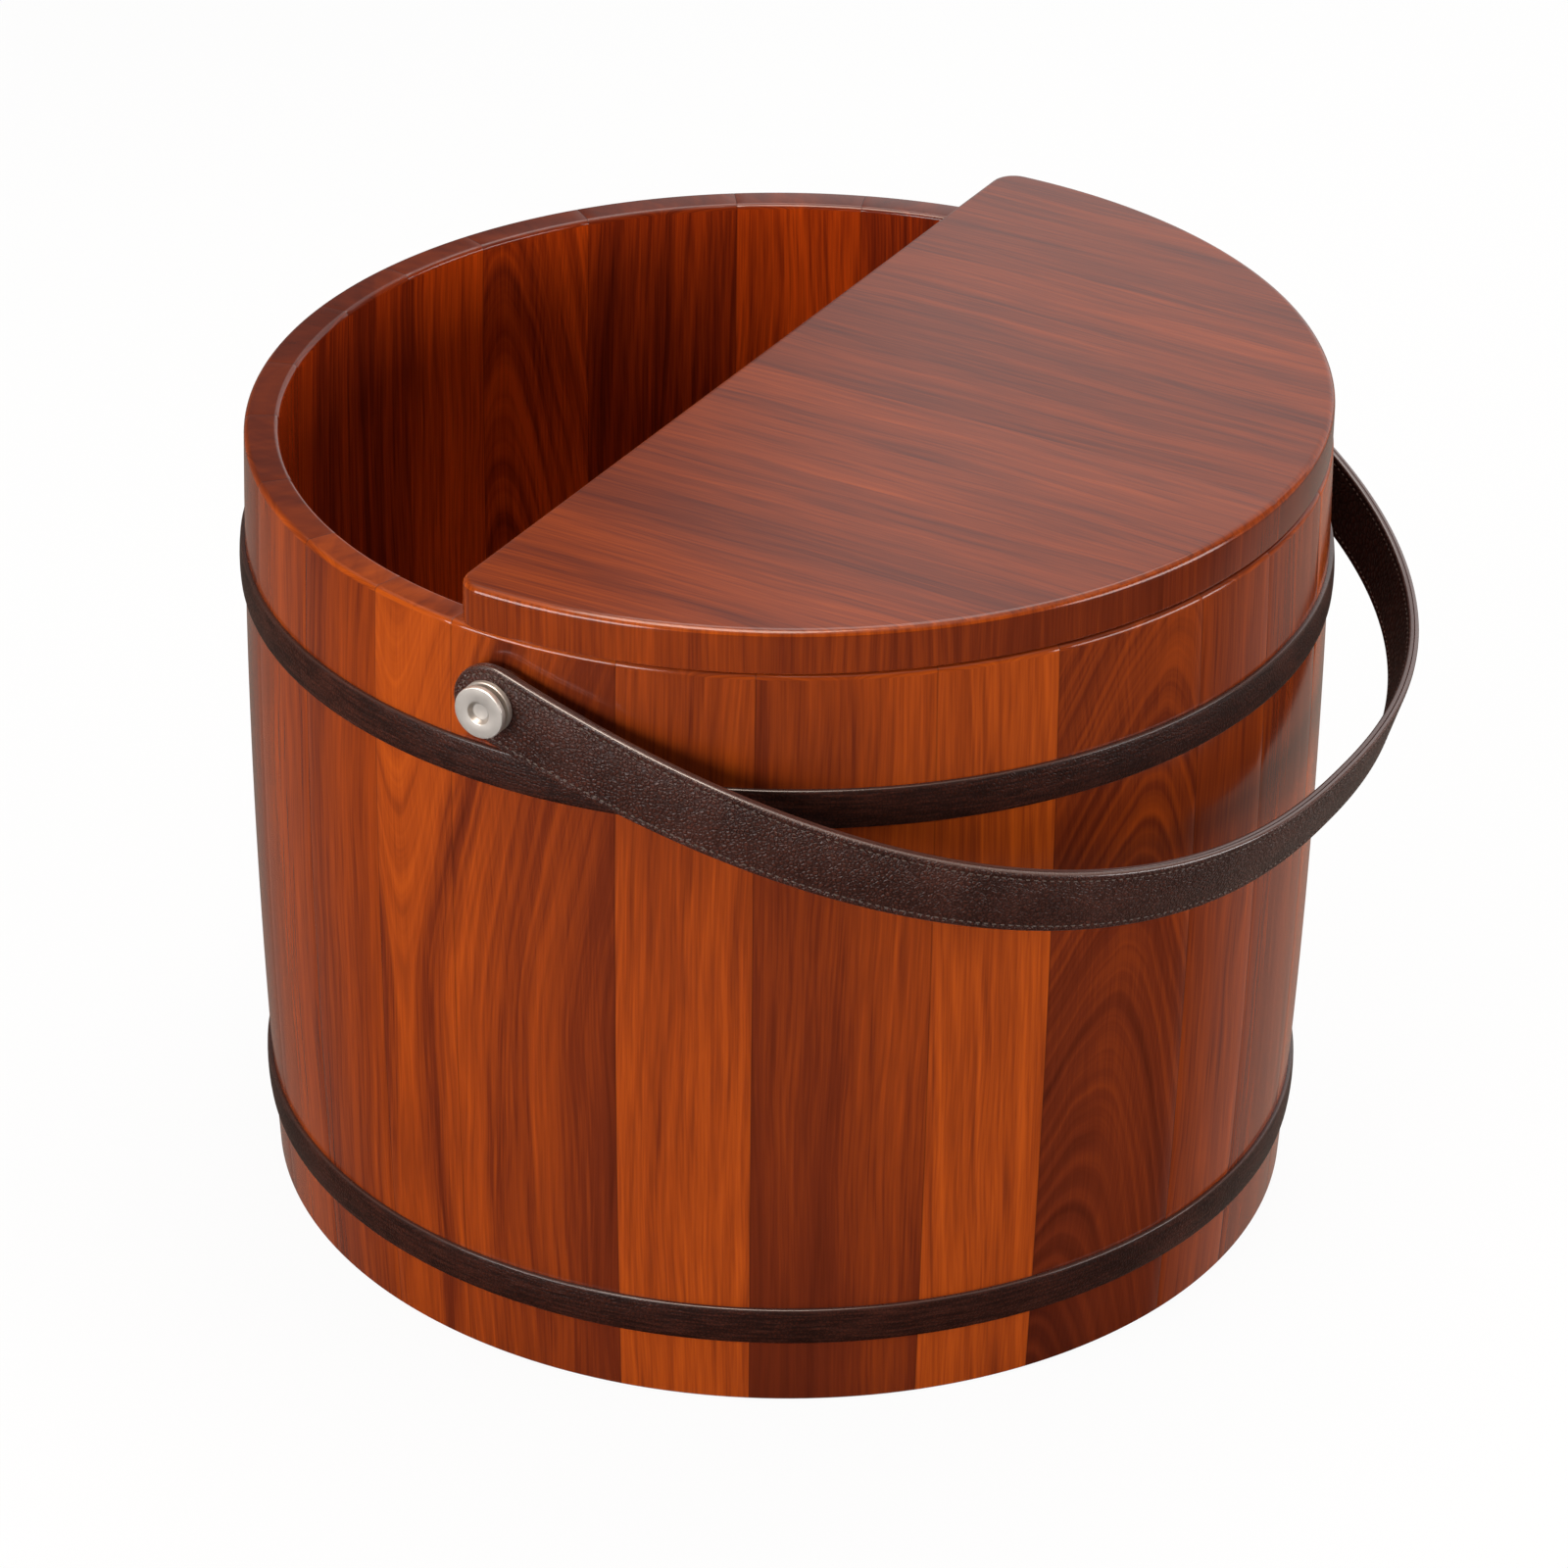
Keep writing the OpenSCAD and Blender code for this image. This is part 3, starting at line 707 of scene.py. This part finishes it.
# %% Saw a plate
def sawn(points, faces, low_x, high_x):
    """The part of a plate between two planes across X, closed again where it was cut."""
    mesh = outward_mesh("plate", points, faces)
    form = bmesh.new()
    form.from_mesh(mesh)
    for x, outward in ((low_x, (-1, 0, 0)), (high_x, (1, 0, 0))):
        cut = bmesh.ops.bisect_plane(
            form, geom=form.verts[:] + form.edges[:] + form.faces[:],
            plane_co=(x, 0, 0), plane_no=outward, clear_outer=True,
        )
        rim = [e for e in cut["geom_cut"] if isinstance(e, bmesh.types.BMEdge)]
        if rim:
            bmesh.ops.edgeloop_fill(form, edges=rim)
    form.verts.index_update()
    kept = [v.co[:] for v in form.verts], [[v.index for v in f.verts] for f in form.faces]
    form.free()
    bpy.data.meshes.remove(mesh)
    return kept


plate = capped(lid_rings())
print("lid plate:", len(plate[0]), "points")

# %% Lay the lid boards
lid_wood = stave_wood
lid_tones = (0.56, 0.47, 0.55, 0.46, 0.52, 0.45)
lid_edge_drop, lid_edge_slope = 0.28, 0.16
lid_round_highlight_tone, lid_round_highlight_slope = 0.55, 0.20
lid_figure, lid_figure_length = 0.05, 1.1
lid_heart = (120 * mm, 0.015, 0.0)
flat_from, round_from, round_to = 0.7, 0.35, 0.88
for i, node in enumerate(lid_names):
    low_x = -lid_r - mm if i == 0 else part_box(node)[0].x
    high_x = lid_r + mm if node == lid_names[-1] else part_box(node)[1].x
    made = piece(f"top_{node}", *sawn(*plate, low_x, high_x), "lid", lid_wood, "lid_wood", [node])
    seed = rng.uniform(30, 60)
    middle, half = (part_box(node)[0].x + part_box(node)[1].x) / 2, (high_x - low_x) / 2
    rows = []
    for face in made.data.polygons:
        for index in face.vertices:
            co = made.data.vertices[index].co
            if abs(face.normal.z) > flat_from:
                grain = (co.x - middle, co.z - lid_top, co.y * lid_figure_length)
            elif face.normal.y > flat_from:
                grain = (co.x - middle, 0, co.z)
            else:
                turn = math.atan2(co.y - lid_centre_y, co.x)
                grain = ((turn % (2 * math.pi)) * lid_r, 0, co.z)
            edge_tone = lid_tones[i] - lid_edge_drop - lid_edge_slope * co.x / lid_r
            tone = lid_tones[i] if abs(face.normal.z) > flat_from else edge_tone
            # A painted highlight: the rounded top edge takes a pale tone, paler to the left.
            if round_from < face.normal.z < round_to:
                tone = lid_round_highlight_tone - lid_round_highlight_slope * co.x / lid_r
            rows.append((grain, (tone, lid_figure, seed), lid_heart, half, 0.0))
    grain_marks(made.data, rows, "CORNER")
print(len(lid_names), "lid boards")

# %% [markdown]
# ## Leather
#
# The strap and the hoop facings are dark brown hide with a fine pebble. Leather creases into
# small cells, so a Voronoi texture's distance to the cell edge makes the creases, and noise bends
# the cells so that no two are alike. The colour is mottled, with paler worn patches, specks and
# drawn streaks, and it is also painted darker in the creases and paler on the pebbles' tops, as
# painted shade and highlight. The meshes also mark the rolled edges, which take a thin gloss and
# a paler colour, a painted highlight along them.

# %% Mix the leather finish
def leather_finish(name, colour, worn_and_lit, cell, relief, rough, shine=0.32, drawn=0.0):
    """Pebbled hide: a pebble's size, the creases' depth, and how far it is drawn out level."""
    material, w = new_finish(name)
    place = w.node("TexCoord", out=3)
    warp = w.node("TexNoise", sockets={"Vector": place, "Scale": 500, "Detail": 2}, out=1)
    warped = w.node(
        "VectorMath", {"operation": "MULTIPLY_ADD"}, {0: warp, 1: (0.9 * mm,) * 3, 2: place}
    )
    creases = w.node(
        "TexVoronoi", {"feature": "DISTANCE_TO_EDGE"}, {"Vector": warped, "Scale": 1 / cell}
    )
    pebble = creases.step(0.0, 0.30)
    cloud = place.noise((45, 45, 45), 3)
    dust = place.noise((1400, 1400, 1400), 2)
    streak = (place.noise((70, 70, 1300), 3) - 0.5) * drawn
    edge = w.node("Attribute", {"attribute_name": "edge"}, out=2)
    # Mottling, specks and streaks, plus painted shade in the creases and highlight on the tops.
    wear_and_pebble_shade = (cloud - 0.4) * 0.8 + pebble * 0.35 + (dust - 0.5) * 0.3 + streak
    tinted = wear_and_pebble_shade.tint((*colour, 1), (*worn_and_lit, 1))
    # A painted highlight: the marked edges turn paler.
    tinted = (edge * 0.8).tint(tinted, (0.115, 0.052, 0.042, 1))
    height = (pebble + (dust - 0.5) * 0.15 + streak) * (1 - edge)
    bump = w.node("Bump", sockets={"Height": height, "Strength": 1.0, "Distance": relief})
    rough = rough + (0.5 - pebble) * 0.12 - edge * 0.18
    shader = w.node("BsdfPrincipled", sockets={
        "Base Color": tinted, "Roughness": rough, "Normal": bump, "Specular IOR Level": shine,
        "Coat Weight": edge, "Coat Roughness": 0.16, "Coat IOR": 1.8,
    })
    w.node("OutputMaterial", sockets={0: shader})
    return material


strap_leather = leather_finish(
    "strap_leather", (0.026, 0.0060, 0.0034), (0.115, 0.034, 0.022),
    1.5 * mm, 0.30 * mm, 0.40, shine=0.38,
)
lining_leather = leather_finish(
    "lining_leather", (0.012, 0.0030, 0.0018), (0.048, 0.014, 0.009),
    2.5 * mm, 0.30 * mm, 0.6, shine=0.1,
)
hoop_leather = leather_finish(
    "hoop_leather", (0.016, 0.0036, 0.0019), (0.078, 0.0185, 0.0098),
    1.4 * mm, 0.09 * mm, 0.42, shine=0.22, drawn=1.6,
)
print("leather finishes:", strap_leather.name, lining_leather.name, hoop_leather.name)

# %% [markdown]
# ## The hoops
#
# Each hoop is a steel band under a strip of leather whose two edges are turned in to the wall.
# Only the leather shows, so it is one closed section swept right round, slightly domed and with
# soft shoulders, and it follows the swell of the staves. Its upper shoulder is marked to take a
# thin gloss and a paler colour, which paints a highlight along it.

# %% Sweep the hoop facings
def hoop_section(z0, z1, proud, inset=0.05 * mm):
    """A soft-shouldered strip against the wall, as (r, z)."""
    soft, sink = 0.7 * mm, 0.5 * mm
    low = arc(-soft - sink, z0 + soft, soft, -90, 0, 5)
    high = arc(-soft - sink, z1 - soft, soft, 0, 90, 5)
    face = [(-sink * (i / 6 - 1) ** 2, z0 + (z1 - z0) * i / 12) for i in range(1, 12)]
    shape = [(outer_r(z) + proud + x, z) for x, z in low + face + high]
    return [(outer_r(z0) + inset, z0)] + shape + [(outer_r(z1) + inset, z1)]


def mark_gloss_and_highlight(mesh, shares):
    """Writes how much gloss and painted highlight each point takes, from 0 to 1."""
    mesh.attributes.new("edge", "FLOAT", "POINT").data.foreach_set("value", shares)


shoulder, shoulder_highlight, hoop_steps = 0.9 * mm, 0.55, 240
for name in ("lower", "upper"):
    node = f"{name}_hoop_facing"
    low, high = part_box(node)
    proud = high.x - max(outer_r(low.z), outer_r(high.z))
    section = hoop_section(low.z, high.z, proud)
    rings = [ring_at(section, t) for t in full_turn(hoop_steps)]
    made = piece(
        f"leather_{node}", *joined(rings, along=True), "tub", hoop_leather, "hoop_leather", [node]
    )
    # Its upper shoulder gets a gloss and a painted highlight.
    mark_gloss_and_highlight(made.data, [
        shoulder_highlight * max(0.0, 1 - (high.z - v.co.z) / shoulder) for v in made.data.vertices
    ])
    print(node, "stands", round(proud / mm, 2), "mm proud")

# %% [markdown]
# ## The strap
#
# The carrying strap is two layers of leather, stitched round the edge and bent to a loop. Flat,
# it is a long strip with round ends. Every ring of its mesh is that flat outline, drawn in from
# the edge by some amount and lifted by some thickness, then bent along the loop: this gives the
# rolled edge, the seam between the layers and the shallow channel for the thread, all along the
# strap.

# %% Lay out the loop
strap_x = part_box("right_bush")[1].x
layer_t = 2 * mm
strap_reach, strap_square, strap_droop = 237.5 * mm, 2.35, math.radians(17.5)
strap_end_r, strap_mid_r = 29.5 * mm / 2, 25.5 * mm / 2
strap_mid_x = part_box("strap_lining")[1].x
loop_steps = 1200


def loop_point(t):
    """A point of the middle line and the direction out of it, in the strap's own plane."""
    c, s = math.cos(t), max(math.sin(t), 0.0)
    power = 2 / strap_square
    x = strap_mid_x * math.copysign(abs(c) ** power, c)
    out_x = math.copysign(abs(c) ** (2 - power), c) / strap_mid_x
    out_v = s ** (2 - power) / strap_reach
    size = math.hypot(out_x, out_v)
    return x, strap_reach * s ** power, out_x / size, out_v / size


loop = [loop_point(math.pi * i / loop_steps) for i in range(loop_steps + 1)]
lengths = [0.0]
for a, b in zip(loop, loop[1:]):
    lengths.append(lengths[-1] + math.hypot(b[0] - a[0], b[1] - a[1]))
loop_length = lengths[-1]


def on_loop(s):
    """The middle line at a length from the first pivot, straight beyond both pivots."""
    if s <= 0:
        return strap_mid_x, s, 1.0, 0.0
    if s >= loop_length:
        return -strap_mid_x, loop_length - s, -1.0, 0.0
    low, high = 0, loop_steps
    while high - low > 1:
        half = (low + high) // 2
        low, high = (half, high) if lengths[half] <= s else (low, half)
    share = (s - lengths[low]) / (lengths[high] - lengths[low])
    return tuple(p + (q - p) * share for p, q in zip(loop[low], loop[high]))


def bent(s, width, lift):
    """A point of the flat strap, bent along the loop and hung at the strap's angle."""
    x, v, out_x, out_v = on_loop(s)
    x, v = x + lift * out_x, v + lift * out_v
    y = -v * math.cos(strap_droop) - width * math.sin(strap_droop)
    z = -v * math.sin(strap_droop) + width * math.cos(strap_droop)
    return pivot + Vector((x, y, z))


def half_width(s):
    share = max(on_loop(s)[1], 0.0) / strap_reach
    return strap_end_r + (strap_mid_r - strap_end_r) * share


print("strap loop", round(loop_length / mm), "mm between its pivots")

# %% Draw the flat strap
end_steps, body_steps = 14, 200
rolled_edge = 0.8 * mm


def flat_outline(inset):
    """The flat strap's edge as (length, width): one side out, the other side back."""
    radius = strap_end_r - inset
    turns = [math.pi / 2 * i / end_steps for i in range(end_steps)]
    first = [(-radius * math.cos(t), radius * math.sin(t)) for t in turns]
    places = [loop_length * i / body_steps for i in range(body_steps + 1)]
    body = [(s, half_width(s) - inset) for s in places]
    last = [(loop_length - s, width) for s, width in reversed(first)]
    side = first + body + last
    return side + [(s, -width) for s, width in reversed(side[1:-1])]


def mark_edge(mesh):
    """Marks how near to the strap's rolled edge each point lies: 1 on it, 0 further in."""
    nearness = []
    for v in mesh.vertices:
        at = v.co - pivot
        width = abs(at.z * math.cos(strap_droop) - at.y * math.sin(strap_droop))
        reach = -at.y * math.cos(strap_droop) - at.z * math.sin(strap_droop)
        widest = strap_end_r + (strap_mid_r - strap_end_r) * max(reach, 0.0) / strap_reach
        inset = widest - (width if reach > 0 else math.hypot(width, reach))
        nearness.append(min(max(1 - inset / rolled_edge, 0.0), 1.0))
    mark_gloss_and_highlight(mesh, nearness)


print("flat strap:", len(flat_outline(0.0)), "points round its edge")

# %% Build the two layers
sleeve_r, running_gap, cutter_margin, soft_crisp = 5.5 * mm, 0.1 * mm, 10 * mm, 50


def strap_layer(name, node, lift, finish):
    """One layer: rings of (inset, height) from the glued face to the face that shows."""
    steps = [(0.30, 0.0), (0.0, 0.22), (0.0, 0.9), (0.12, 1.32), (0.38, 1.68), (0.80, 1.92)]
    steps += [(1.3, 2.0), (2.1, 2.0), (2.45, 1.84), (2.95, 1.84), (3.3, 2.0)]
    rings = []
    for inset, height in steps:
        height = lift * height * layer_t / 2
        rings.append([bent(s, width, height) for s, width in flat_outline(inset * mm)])
    points, faces = joined(rings)
    count = len(rings[0])
    half = count // 2
    for base in (0, len(points) - count):
        for i in range(half):
            quad = [base + i, base + i + 1]
            quad += [base + (count - i - 1) % count, base + (count - i) % count]
            faces.append(tuple(dict.fromkeys(quad)))
    made = piece(
        name, points, faces, "handle", finish, "strap_leather", [node], crisp_deg=soft_crisp
    )
    bore = sleeve_r + running_gap
    near, far = strap_mid_x - cutter_margin, strap_x + cutter_margin
    for side in (-1, 1):
        drilled(made, *turned_cutter([(near, bore), (far, bore)], side), crisp_deg=soft_crisp)
    mark_edge(made.data)
    return made


for made in (
    strap_layer("strap_outside", "strap_outer", 1, strap_leather),
    strap_layer("strap_inside", "strap_lining", -1, lining_leather),
):
    print(made.name, len(made.data.vertices), "points")

# %% [markdown]
# ## The stitching
#
# A lockstitch shows as a row of short, slightly sunk dashes. Each dash is a small rounded capsule
# laid in the channel, with its ends dipped into the leather, and all the dashes of one face are
# one mesh. A line painted by the shader would look flat where the strap turns edge on.

# %% Mix the thread
thread_finish, w = new_finish("thread")
twist = w.node("TexCoord", out=3).noise((2600, 2600, 2600), 1)
thread_colour = twist.tint((0.042, 0.025, 0.018, 1), (0.145, 0.097, 0.075, 1))
thread_shader = w.node("BsdfPrincipled", sockets={
    "Base Color": thread_colour, "Roughness": 0.55 + twist * 0.2, "Sheen Weight": 0.2,
})
w.node("OutputMaterial", sockets={0: thread_shader})
print("thread:", len(thread_finish.node_tree.nodes), "nodes")

# %% Sew the strap
stitch_inset, stitch_pitch, stitch_length, thread_r = 2.7 * mm, 3.0 * mm, 1.9 * mm, 0.32 * mm
stitch_height, stitch_dip, thread_flat, look_ahead = 0.93, 0.22 * mm, 0.8, 0.2 * mm


def sewn_row(name, lift):
    """The dashes all round one face of the strap."""
    edge = flat_outline(stitch_inset)
    edge.append(edge[0])
    height = lift * stitch_height * layer_t
    path = [(bent(s, width, height), bent(s, width, height + lift * mm)) for s, width in edge]
    run = [0.0]
    for (a, _), (b, _) in zip(path, path[1:]):
        run.append(run[-1] + (b - a).length)

    def at(length):
        length %= run[-1]
        i = next(k for k in range(len(run) - 1) if run[k + 1] >= length)
        share = (length - run[i]) / (run[i + 1] - run[i])
        here = path[i][0].lerp(path[i + 1][0], share)
        return here, (path[i][1].lerp(path[i + 1][1], share) - here).normalized()

    count = int(run[-1] / stitch_pitch)
    points, faces = [], []
    for n in range(count):
        rings = []
        for share in (-1.0, -0.82, -0.4, 0.0, 0.4, 0.82, 1.0):
            place = n * run[-1] / count + share * stitch_length / 2
            here, up = at(place)
            ahead = (at(place + look_ahead)[0] - here).normalized()
            beside = ahead.cross(up)
            r = thread_r * math.sqrt(max(1 - share ** 4, 0.02))
            here = here - up * (stitch_dip * share * share)
            rings.append([
                here + beside * (r * math.cos(t)) + up * (thread_flat * r * math.sin(t))
                for t in full_turn(6)
            ])
        more, quads = capped(rings)
        faces += [tuple(len(points) + k for k in quad) for quad in quads]
        points += more
    piece(name, points, faces, "handle", thread_finish, "strap_leather", crisp_deg=80)
    return count


rows_of_stitches = (("stitches_outside", 1), ("stitches_inside", -1))
sewn = {name: sewn_row(name, lift) for name, lift in rows_of_stitches}
print("stitches:", sewn)

# %% [markdown]
# ## The pivots
#
# On each side a spacer, a flanged bush and a stud hold the strap to the wall. They are turned
# parts, so each is a profile spun about the pivot axis, with the small chamfers that a lathe
# leaves and the shallow dimple in the stud's face. The metal is satin nickel with faint turning
# marks, which follow the distance from the axis, and shade is painted darker into the groove
# behind the head and round the dimple.

# %% Mix the metal finishes
head_t, neck_r, dimple_r = 2.4 * mm, 7.5 * mm, 4.25 * mm
neck_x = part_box("right_stud")[1].x - head_t
# The colour of the painted shade in the stud's groove and round its dimple.
groove_shade = (0.03, 0.022, 0.018, 1)


def metal_finish(name, colour, rough, turned_marks=0.0, bare=1.0):
    """Bare metal turned about the pivot axis, with painted shade in the groove and dimple."""
    material, w = new_finish(name)
    place = w.node("TexCoord", out=3)
    x, y, z = place.parts()
    up = z - pivot.z
    radius = w.maths("SQRT", y * y + up * up)
    marks = w.node("CombineXYZ", sockets={0: radius * 2600, 1: x * 900}).noise((1, 1, 1), 2)
    smears = place.noise((160, 160, 160), 3)
    tone = tuple(c * 0.86 for c in colour)
    tinted = smears.tint((*tone, 1), (*colour, 1))
    face = w.maths("ABSOLUTE", x).step(neck_x, neck_x + 0.1 * mm)
    neck = (1 - radius.step(neck_r + 0.1 * mm, neck_r + 0.7 * mm)) * (1 - face)
    dimple = radius.step(dimple_r - 1.65 * mm, dimple_r - 1.05 * mm)
    dimple = dimple * (1 - radius.step(dimple_r - 0.15 * mm, dimple_r + 0.25 * mm)) * face
    # Painted shade: the groove behind the head and a ring round the dimple are darkened.
    tinted = (neck * 0.85 + dimple * 0.4).tint(tinted, groove_shade)
    bump = w.node(
        "Bump", sockets={"Height": marks, "Strength": turned_marks, "Distance": 0.05 * mm}
    )
    shader = w.node("BsdfPrincipled", sockets={
        "Base Color": tinted, "Metallic": bare, "Normal": bump,
        "Roughness": (smears - 0.5) * 0.12 + (marks - 0.5) * 0.10 + rough,
    })
    w.node("OutputMaterial", sockets={0: shader})
    return material


satin_nickel = metal_finish("satin_nickel", (0.94, 0.865, 0.80), 0.46, 0.35, bare=0.88)
band_steel = metal_finish("band_steel", (0.42, 0.42, 0.43), 0.45)
screw_steel = metal_finish("screw_steel", (0.50, 0.50, 0.50), 0.35)
insert_brass = metal_finish("insert_brass", (0.75, 0.55, 0.25), 0.35)
print("metals:", satin_nickel.name, band_steel.name, screw_steel.name, insert_brass.name)


# %% Spin a profile
lathe_turns = full_turn(96)


def spun(name, node, profile, side):
    """A profile of (x, radius) spun about the pivot axis on one side."""
    rings = [
        [(side * x, r * math.cos(t), pivot.z + r * math.sin(t)) for t in lathe_turns]
        for x, r in profile
    ]
    return piece(name, *capped(rings), "tub", satin_nickel, "pivot_nickel", [node], crisp_deg=45)


def chamfered_disc(x0, x1, radius, inner, chamfer=0.3 * mm):
    """A washer's closed profile, walked from its bore round its rim and back."""
    return [
        (x0, inner), (x0, radius - chamfer), (x0 + chamfer, radius),
        (x1 - chamfer, radius), (x1, radius - chamfer), (x1, inner),
    ]


def spun_ring(name, node, profile, side):
    """A closed profile that doesn't reach the axis, spun into a ring."""
    rings = [
        [(side * x, r * math.cos(t), pivot.z + r * math.sin(t)) for x, r in profile]
        for t in lathe_turns
    ]
    return piece(
        name, *joined(rings, along=True), "tub", satin_nickel, "pivot_nickel", [node], crisp_deg=30
    )


print("lathe steps:", len(lathe_turns))

# %% Turn the pivot pieces
shank_r, flange_t, bore_gap = 3 * mm, 2.3 * mm, 0.05 * mm
dimple_depth, dimple_edge, dimple_taper, head_edge = 1.6 * mm, 0.3 * mm, 0.75, 0.45 * mm
for side, word in ((-1, "left"), (1, "right")):
    spacer_x = [abs(c.x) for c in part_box(f"{word}_spacer")]
    bush_x = [abs(c.x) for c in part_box(f"{word}_bush")]
    stud_x = [abs(c.x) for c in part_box(f"{word}_stud")]
    flange_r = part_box(f"{word}_bush")[1].z - pivot.z
    bore_r = shank_r + bore_gap
    spun_ring(f"{word}_pivot_spacer", f"{word}_spacer",
              chamfered_disc(min(spacer_x), max(spacer_x), flange_r, bore_r), side)
    flange_x = max(bush_x) - flange_t
    bush = [(min(bush_x), bore_r), (min(bush_x), sleeve_r), (flange_x, sleeve_r)]
    bush += chamfered_disc(flange_x, max(bush_x), flange_r, bore_r)[1:]
    spun_ring(f"{word}_pivot_bush", f"{word}_bush", bush, side)
    top = max(stud_x)
    head_x = top - head_t
    rim = [(x, r) for r, x in arc(flange_r - head_edge, head_x + head_edge, head_edge, -90, 0, 6)]
    rim += [(x, r) for r, x in arc(flange_r - head_edge, top - head_edge, head_edge, 0, 90, 6)]
    lip = arc(dimple_r + dimple_edge, top - dimple_edge, dimple_edge, 90, 180, 4)
    dimple = [(x, r) for r, x in lip]
    floor_x = top - dimple_depth
    dimple += [(floor_x, dimple_r * dimple_taper), (floor_x - 0.1 * mm, 0.05 * mm)]
    shank = [(min(stud_x), shank_r), (max(bush_x), shank_r)]
    shank += [(max(bush_x), neck_r), (head_x, neck_r)]
    spun(f"{word}_pivot_stud", f"{word}_stud", shank + rim + dimple, side)
print("pivot pieces on both sides, head", round(2 * flange_r / mm, 1), "mm across")

# %% [markdown]
# ## The pieces inside
#
# The bottom boards, the battens, the dowels and the screws already have their true shape as
# solids, and are seen only with the lid off, so they stay and just take a finish. Their wood runs
# along one axis, so plain object coordinates are enough for its grain, and each bottom board gets
# a tone and a grain of its own.

# %% Finish the solids that stay
bottom_tones = (0.34, 0.26, 0.31, 0.24, 0.36)
bottom_woods = {
    f"bottom_board_{i}": wood_finish(f"bottom_wood_{i}", axes=(1, 2, 0), tone=tone, seed=2.3 * i)
    for i, tone in enumerate(bottom_tones, 1)
}
for name, solid in nodes.items():
    if solid.hide_render:
        continue
    finish = (
        bottom_woods[name] if name in bottom_woods
        else batten_wood if name.startswith("lid_batten")
        else dowel_wood if name.endswith("dowels")
        else screw_steel if name == "lid_screws"
        else insert_brass if name.endswith("insert")
        else band_steel
    )
    solid.data.materials.clear()
    solid.data.materials.append(finish)
print("solids kept:", sum(not solid.hide_render for solid in nodes.values()))
